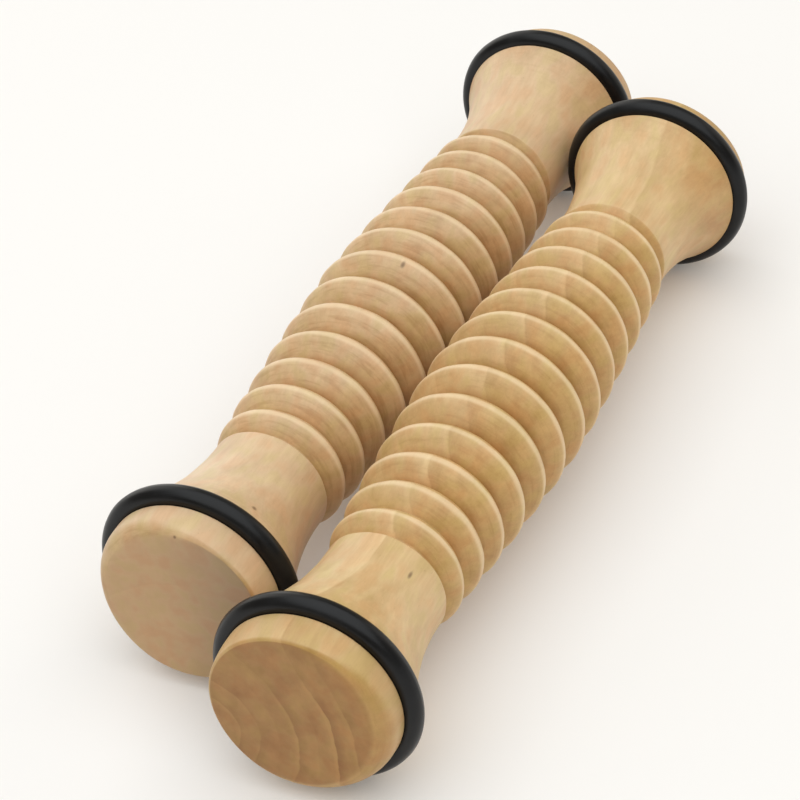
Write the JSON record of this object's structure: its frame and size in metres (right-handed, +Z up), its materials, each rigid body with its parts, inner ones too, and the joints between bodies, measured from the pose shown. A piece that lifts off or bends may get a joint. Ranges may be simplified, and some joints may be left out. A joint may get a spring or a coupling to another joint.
{
  "type": "foot massage roller",
  "caption": "Matched wooden foot massage rollers with a ribbed, swelling barrel, flared necks and rubber grip rings near the ends.",
  "frame": {"origin": "On the surface that the rollers stand on, midway between the two axes and midway along the pair", "axes": "+Y runs along both rollers' axes, from their front ends to their back ends; +X points from the left roller to the right one; +Z is up"},
  "size_m": [0.091, 0.2564, 0.05],
  "materials": {
    "right_wood": "satin, fine turned beech, warm yellow tan",
    "left_wood": "satin, fine turned beech, slightly pinker tan",
    "black_rubber": "satin black moulded rubber"
  },
  "bodies": {
    "right_roller": {"right_roller_body": "right_wood", "right_front_ring": "black_rubber", "right_back_ring": "black_rubber"},
    "left_roller": {"left_roller_body": "left_wood", "left_front_ring": "black_rubber", "left_back_ring": "black_rubber"}
  },
  "joints": [
    {"name": "left_roller_spin", "type": "hinge", "parent": "right_roller", "child": "left_roller", "pos_m": [-0.02053, 0.01243, 0.025], "axis": [0, 1, 0], "continuous": true}
  ]
}
